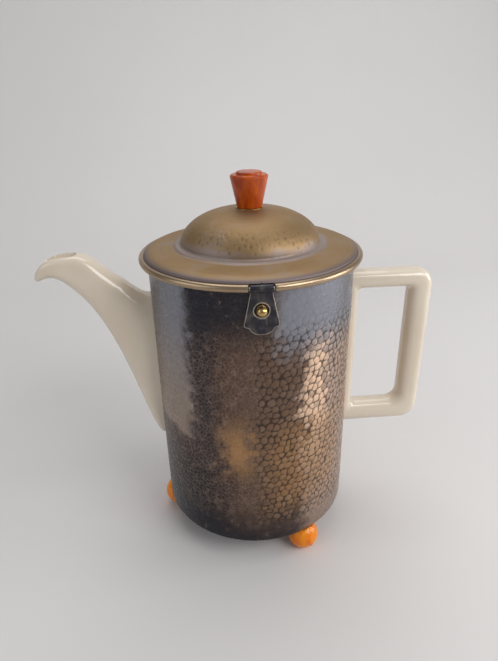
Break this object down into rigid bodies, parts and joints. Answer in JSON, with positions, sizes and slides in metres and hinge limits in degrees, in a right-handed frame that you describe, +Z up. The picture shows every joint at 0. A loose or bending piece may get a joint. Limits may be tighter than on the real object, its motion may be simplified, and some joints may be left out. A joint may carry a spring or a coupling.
{
  "type": "insulated coffee pot",
  "caption": "Ceramic coffee pot with long spout and square loop handle in a felt-lined hammered metal jacket on ball feet, with a hinged domed lid and a front hasp.",
  "frame": {"origin": "the pot's vertical axis at the level of the feet's soles", "axes": "+Z up along the pot's axis; +X towards the handle, -X towards the spout; -Y towards the hasp, +Y towards the lid's hinge"},
  "size_m": [0.2261, 0.1251, 0.2212],
  "materials": {
    "ceramic": "glossy ivory glaze",
    "hammered_plate": "hammered silver plate, heavily tarnished, worn to the brass",
    "felt": "dense wool felt",
    "amber_resin": "polished marbled cast resin",
    "steel": "plain turned steel",
    "bright_brass": "polished brass",
    "lid_brass": "satin brass with traces of worn plating",
    "plate_metal": "dull plated sheet",
    "dark_plate": "dark tarnished plate, bright at the edges"
  },
  "bodies": {
    "pot": {"pot_body": "ceramic", "pot_base": "ceramic", "spout": "ceramic", "handle": "ceramic", "jacket": "hammered_plate", "lining_felt": "felt", "floor_felt": "felt", "foot_1": "amber_resin", "foot_2": "amber_resin", "foot_3": "amber_resin", "foot_screws": "steel", "ball_stud": "bright_brass", "stud_washer": "steel", "hinge_strap": "hammered_plate", "hinge_rivets": "steel", "hinge_pin": "steel"},
    "lid": {"lid_shell": "lid_brass", "rim_wire": "bright_brass", "lid_knuckles": "lid_brass", "lid_felt": "felt", "lid_plate": "plate_metal", "knob_spacer": "steel", "knob_screw": "steel", "knob_washer": "bright_brass", "knob": "amber_resin", "hasp_pin": "steel"},
    "hasp": {"hasp": "dark_plate"}
  },
  "joints": [
    {"name": "lid_hinge", "type": "hinge", "parent": "pot", "child": "lid", "pos_m": [0, 0.0602, 0.17783], "axis": [-1, 0, 0], "range_deg": [0, 105]},
    {"name": "hasp_hinge", "type": "hinge", "parent": "lid", "child": "hasp", "pos_m": [0, -0.0602, 0.17783], "axis": [-1, 0, 0], "range_deg": [0, 100]}
  ]
}
